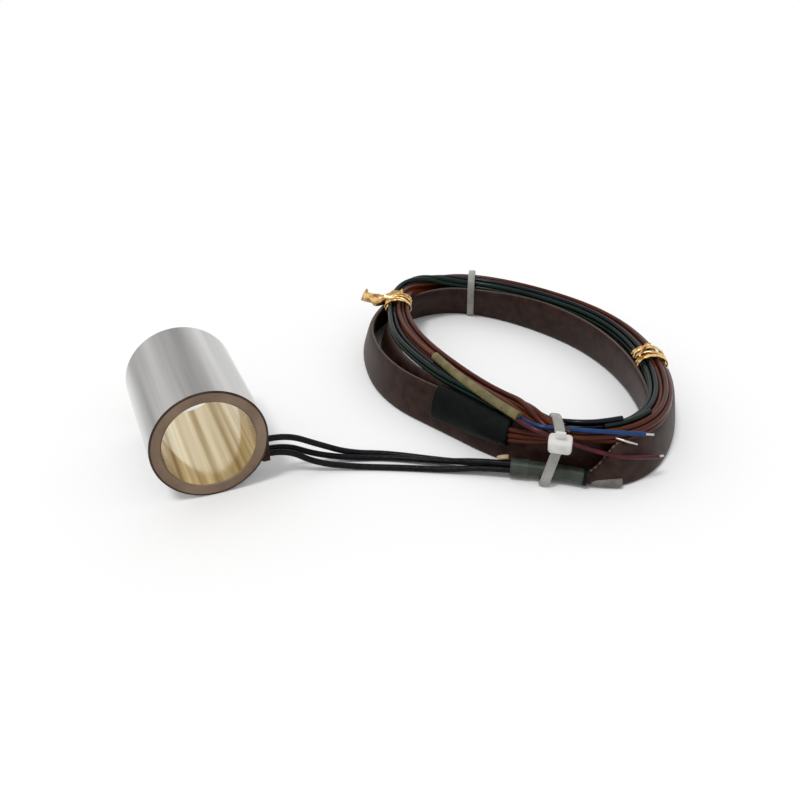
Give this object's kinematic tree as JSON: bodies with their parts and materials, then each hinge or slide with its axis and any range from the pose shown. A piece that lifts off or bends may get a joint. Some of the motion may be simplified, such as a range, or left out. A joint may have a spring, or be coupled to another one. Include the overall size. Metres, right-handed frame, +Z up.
{
  "type": "coil heater",
  "caption": "Tubular nozzle heater with brass core, steel shell and a wound flat braided cable with loose wire ends",
  "frame": {"origin": "on the bore axis in the plane of the heater's lead-end face", "axes": "+X from the heater toward the cable ring, the way the leads leave; +Y along the bore from the lead end to the far end; +Z up, off the floor that the heater lies on"},
  "size_m": [0.1964, 0.1576, 0.038],
  "materials": {
    "polished_steel": "polished",
    "brass": "satin, bright bore",
    "cement_brown": "matt cement",
    "sheath_steel": "drawn",
    "magnesia": "pressed powder",
    "heating_alloy": "drawn",
    "black_glass_sleeve": "coated glass braid",
    "grey_silicone": "smooth",
    "tinned_metal": "tinned",
    "brown_braid": "woven flat braid",
    "black_shrink": "smooth",
    "brown_wire": "smooth jacket",
    "cream_glass": "glass sleeve",
    "blue_core": "smooth jacket",
    "red_core": "smooth jacket",
    "green_wire": "smooth jacket",
    "white_nylon": "moulded",
    "gold_foil": "crinkled foil"
  },
  "bodies": {
    "root": {"outer_sleeve": "polished_steel", "brass_core": "brass", "lead_exit_seal": "cement_brown", "element_sheath": "sheath_steel", "element_insulation": "magnesia", "resistance_wire": "heating_alloy", "element_end_plug": "sheath_steel", "thermocouple_probe": "sheath_steel", "lead_sleeve_upper": "black_glass_sleeve", "lead_sleeve_middle": "black_glass_sleeve", "lead_sleeve_lower": "black_glass_sleeve", "joint_tube": "grey_silicone", "joint_collar": "grey_silicone", "splice_crimps": "tinned_metal", "braid_tail": "brown_braid", "band_coil": "brown_braid", "band_end_sleeve": "black_shrink", "wire_coil": "brown_wire", "core_sleeve": "cream_glass", "blue_tail": "blue_core", "red_tail": "red_core", "green_tail": "green_wire", "blue_tip": "tinned_metal", "red_tip": "tinned_metal", "hook_tip": "tinned_metal", "cable_tie_front": "white_nylon", "cable_tie_back": "white_nylon", "twist_tie_left": "gold_foil", "twist_tie_right": "gold_foil"}
  },
  "joints": []
}
